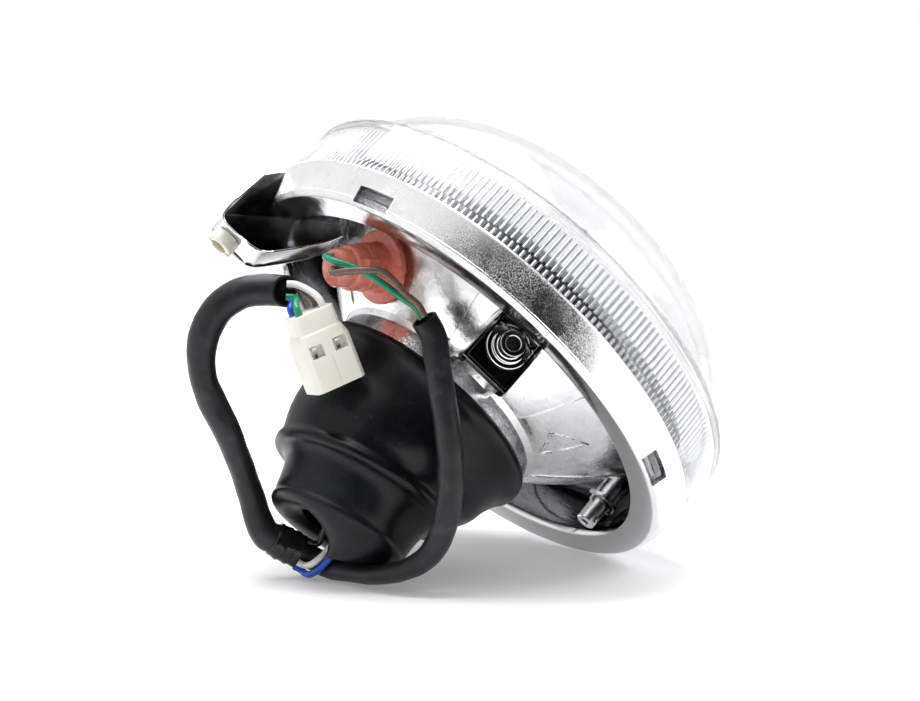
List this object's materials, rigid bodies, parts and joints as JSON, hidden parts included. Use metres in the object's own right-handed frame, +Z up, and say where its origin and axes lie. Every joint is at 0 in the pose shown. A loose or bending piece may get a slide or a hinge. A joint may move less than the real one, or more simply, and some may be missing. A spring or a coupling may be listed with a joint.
{
  "type": "scooter headlight",
  "caption": "Round scooter headlight with a clear domed lens, a metallised reflector housing with side pivots and an adjuster arm, a rubber boot and a short sleeved loom ending in a connector.",
  "frame": {"origin": "on the lamp axis, midway between the two side pivots that the lamp tilts on", "axes": "-Y forwards along the lamp axis through the dome, +Y back through the boot, +X along the pivot axis, +Z up through the adjuster arm"},
  "size_m": [0.156, 0.1395, 0.1596],
  "materials": {
    "lens_clear": "clear polished plastic",
    "sealant": "pale grey sealant",
    "metallised": "vacuum-metallised plastic",
    "zinc_steel": "zinc plated",
    "spring_wire": "bright drawn wire",
    "bulb_metal": "plain metal cap",
    "bulb_glass": "clear glass",
    "tungsten": "drawn tungsten",
    "contact_brass": "tinned brass",
    "plug_dark": "dark moulded plastic",
    "boot_rubber": "moulded rubber with a dusty sheen",
    "holder_pink": "translucent soft plastic",
    "natural_nylon": "natural nylon",
    "sleeve_grey": "satin flexible vinyl",
    "tape_black": "glossy tape",
    "wire_white": "vinyl insulation",
    "wire_blue": "vinyl insulation",
    "wire_green": "vinyl insulation",
    "wire_brown": "vinyl insulation"
  },
  "bodies": {
    "root": {"lens": "lens_clear", "lens_sealant": "sealant", "lamp_housing": "metallised", "bulb_seat_ring": "zinc_steel", "seat_screws": "zinc_steel", "bulb_spring_clip": "spring_wire", "main_bulb_cap": "bulb_metal", "main_bulb_glass": "bulb_glass", "main_bulb_filaments": "tungsten", "main_bulb_blades": "contact_brass", "bulb_plug": "plug_dark", "rubber_boot": "boot_rubber", "position_holder": "holder_pink", "position_bulb": "bulb_glass", "position_filament": "tungsten", "adjuster_nut": "natural_nylon", "adjuster_insert": "contact_brass", "position_wire_green": "wire_green", "position_wire_brown": "wire_brown", "position_sleeve": "sleeve_grey", "connector_sleeve": "sleeve_grey", "junction_tape": "tape_black", "bulb_wire_white": "wire_white", "bulb_wire_blue": "wire_blue", "bulb_wire_black": "tape_black", "connector_wire_white": "wire_white", "connector_wire_blue": "wire_blue", "connector_wire_green": "wire_green", "connector_wire_brown": "wire_brown", "connector_housing": "natural_nylon", "connector_terminals": "contact_brass"}
  },
  "joints": []
}
